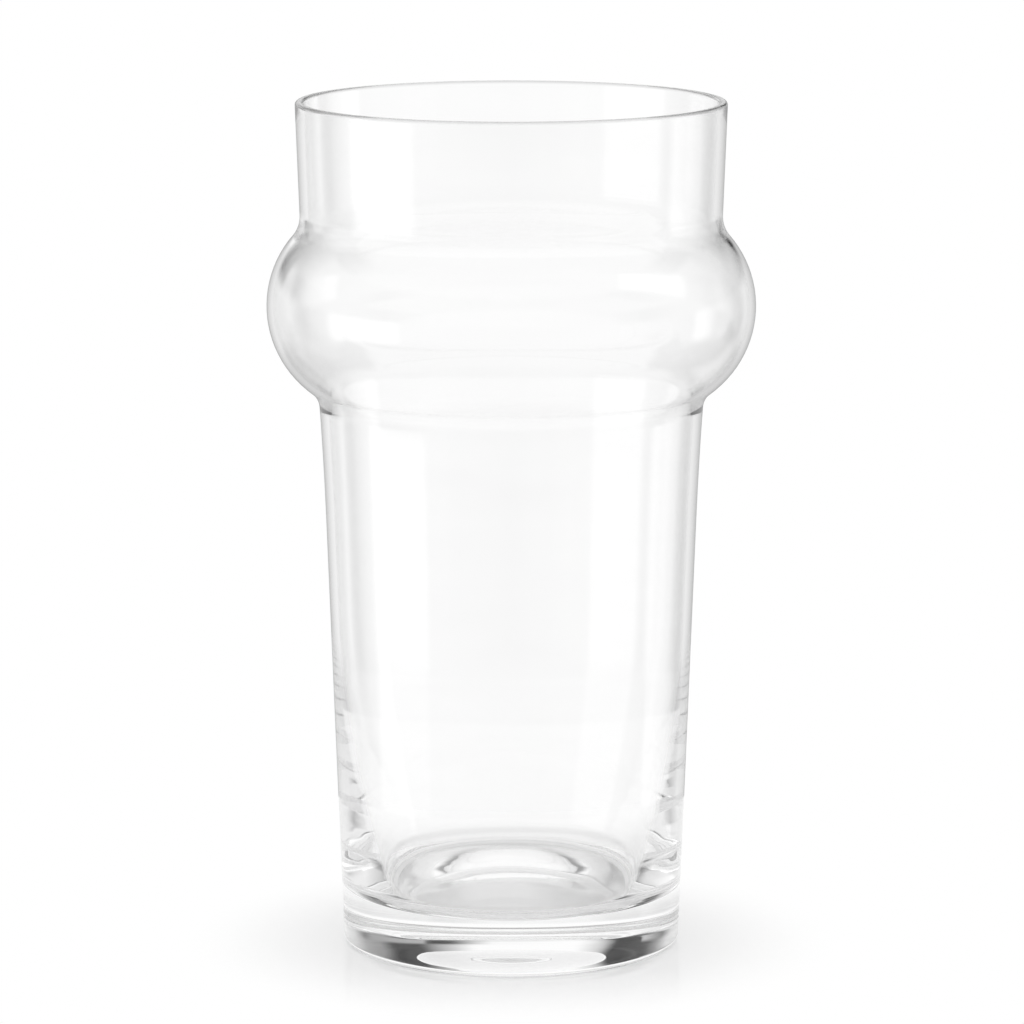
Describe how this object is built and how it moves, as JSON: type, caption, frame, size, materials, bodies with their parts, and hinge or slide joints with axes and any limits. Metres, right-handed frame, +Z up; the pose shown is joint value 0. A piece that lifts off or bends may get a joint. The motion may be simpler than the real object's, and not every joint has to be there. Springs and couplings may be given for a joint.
{
  "type": "beer glass",
  "caption": "Tall clear beer glass: tapered thick-based body, round bulge below a straight collar, polished rim, shallow hollow under the foot.",
  "frame": {"origin": "centre of the foot, on the table that the glass stands on", "axes": "+Z up along the axis of the glass towards its rim; the glass is a body of revolution, so +X and +Y are any two level directions"},
  "size_m": [0.0904, 0.0904, 0.158],
  "materials": {
    "clear_glass": "clear soda-lime glass, fire-polished, smooth all over"
  },
  "bodies": {
    "root": {"glass_body": "clear_glass"}
  },
  "joints": []
}
